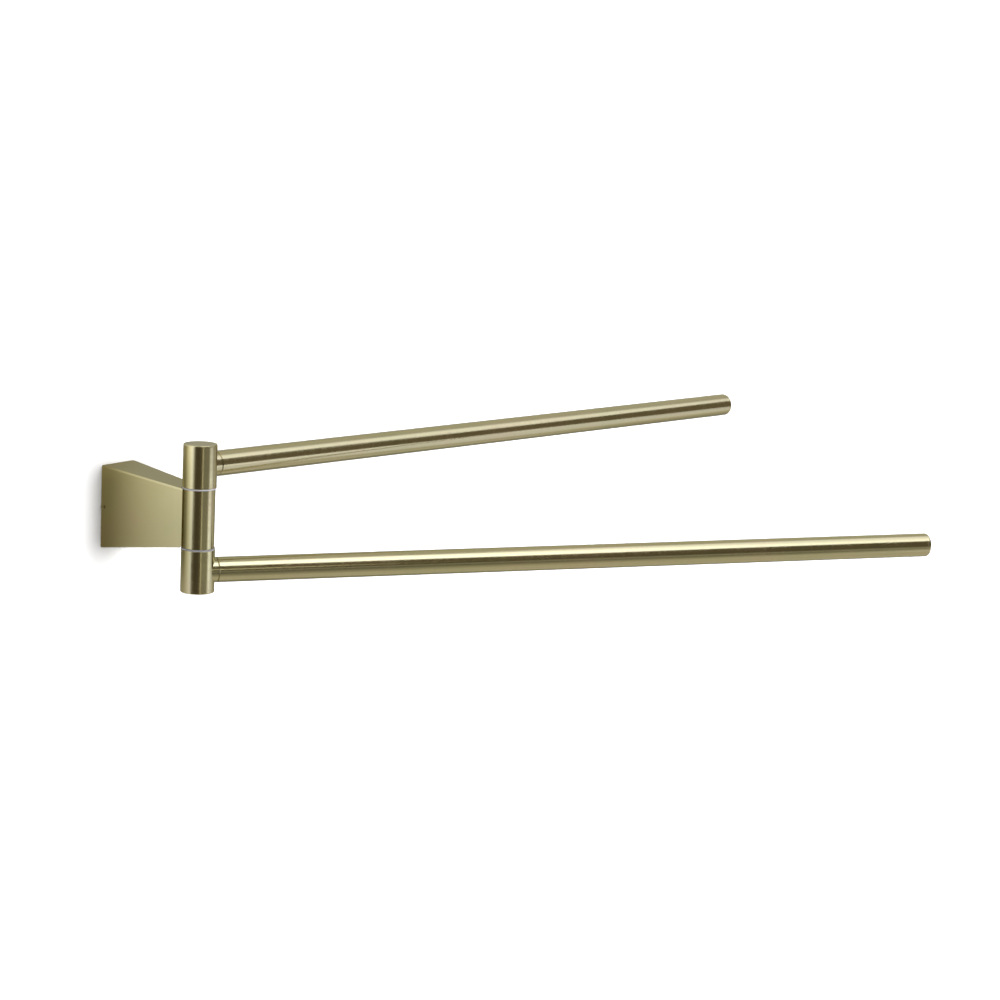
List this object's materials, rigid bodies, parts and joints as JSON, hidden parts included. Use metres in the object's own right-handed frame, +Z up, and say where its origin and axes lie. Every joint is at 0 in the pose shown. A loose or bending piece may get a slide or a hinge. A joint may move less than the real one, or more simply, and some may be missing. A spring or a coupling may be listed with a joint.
{
  "type": "swing arm towel bar",
  "caption": "Wall-held towel bar: two round satin arms swing side to side on a column held by a tapered cast bracket.",
  "frame": {"origin": "middle of the wall face, level with the middle of the column", "axes": "+Y into the wall, -Y out into the room, +Z up along the column, +X to the side that the arms lean to at rest"},
  "size_m": [0.4196, 0.2941, 0.074],
  "materials": {
    "satin_gold": "satin brushed olive gold plating",
    "bracket_finish": "satin olive gold plating on a zinc casting",
    "steel_plate": "zinc plated sheet steel",
    "steel": "plated machined steel",
    "nylon": "natural nylon"
  },
  "bodies": {
    "wall_bracket": {"wall_plate": "steel_plate", "bracket": "bracket_finish", "bracket_grub_screw": "steel", "hub_screws": "steel", "hub_screw_washers": "steel", "centre_hub": "satin_gold", "upper_pivot_screw": "steel", "upper_spring_washer": "steel", "upper_ring": "nylon", "lower_pivot_screw": "steel", "lower_spring_washer": "steel", "lower_ring": "nylon"},
    "upper_arm": {"upper_hub": "satin_gold", "upper_bush": "nylon", "upper_end_cap": "satin_gold", "upper_neck": "satin_gold", "upper_stud": "steel", "upper_insert": "steel", "upper_tube": "satin_gold", "upper_tip_plug": "satin_gold"},
    "lower_arm": {"lower_hub": "satin_gold", "lower_bush": "nylon", "lower_end_cap": "satin_gold", "lower_neck": "satin_gold", "lower_stud": "steel", "lower_insert": "steel", "lower_tube": "satin_gold", "lower_tip_plug": "satin_gold"}
  },
  "joints": [
    {"name": "upper_arm_swing", "type": "hinge", "parent": "wall_bracket", "child": "upper_arm", "pos_m": [0, -0.053, 0.0262], "axis": [0, 0, 1], "range_deg": [-170.5, 9.5]},
    {"name": "lower_arm_swing", "type": "hinge", "parent": "wall_bracket", "child": "lower_arm", "pos_m": [0, -0.053, -0.0262], "axis": [0, 0, 1], "range_deg": [-145, 35]}
  ]
}
